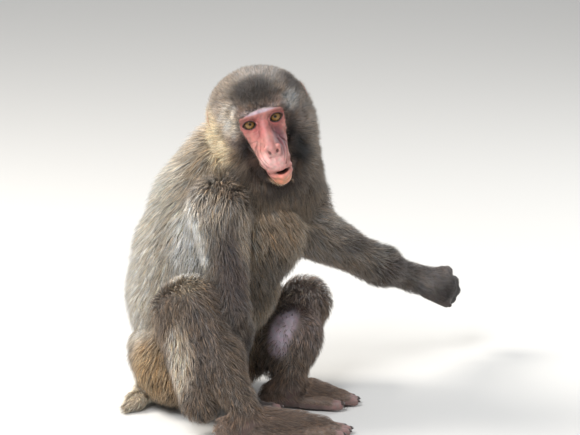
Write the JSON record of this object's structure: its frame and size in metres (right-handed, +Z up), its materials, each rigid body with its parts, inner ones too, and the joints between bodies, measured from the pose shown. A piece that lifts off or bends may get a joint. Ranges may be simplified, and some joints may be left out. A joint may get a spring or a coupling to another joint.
{
  "type": "life-size sitting macaque model",
  "caption": "Life-size still model of a Japanese macaque that sits on its rump with the knees drawn up, turns its pink face to its right and reaches one arm out to its left.",
  "frame": {"origin": "on the floor, in the flat the rump rests on, under the pelvis", "axes": "+Z up; -Y is forward for the pelvis, the way the knees point; +X is the animal's left, the side of the outstretched arm"},
  "size_m": [0.5141, 0.3335, 0.4408],
  "materials": {
    "coat": "dense grey-brown fur, matte",
    "bare_skin": "bare pink-red skin, slightly moist satin",
    "dark_skin": "dark brown skin with short hair, matte",
    "eye": "wet gloss, amber-brown iris"
  },
  "bodies": {
    "root": {"ear_left": "bare_skin", "ear_right": "bare_skin", "muzzle": "bare_skin", "head": "coat", "neck": "coat", "hand_left": "dark_skin", "hand_right": "dark_skin", "forearm_left": "coat", "forearm_right": "coat", "upper_arm_left": "coat", "upper_arm_right": "coat", "foot_left": "dark_skin", "foot_right": "dark_skin", "lower_leg_left": "coat", "lower_leg_right": "coat", "thigh_left": "coat", "thigh_right": "coat", "tail": "coat", "trunk": "coat", "eye_left": "eye", "eye_right": "eye"}
  },
  "joints": []
}
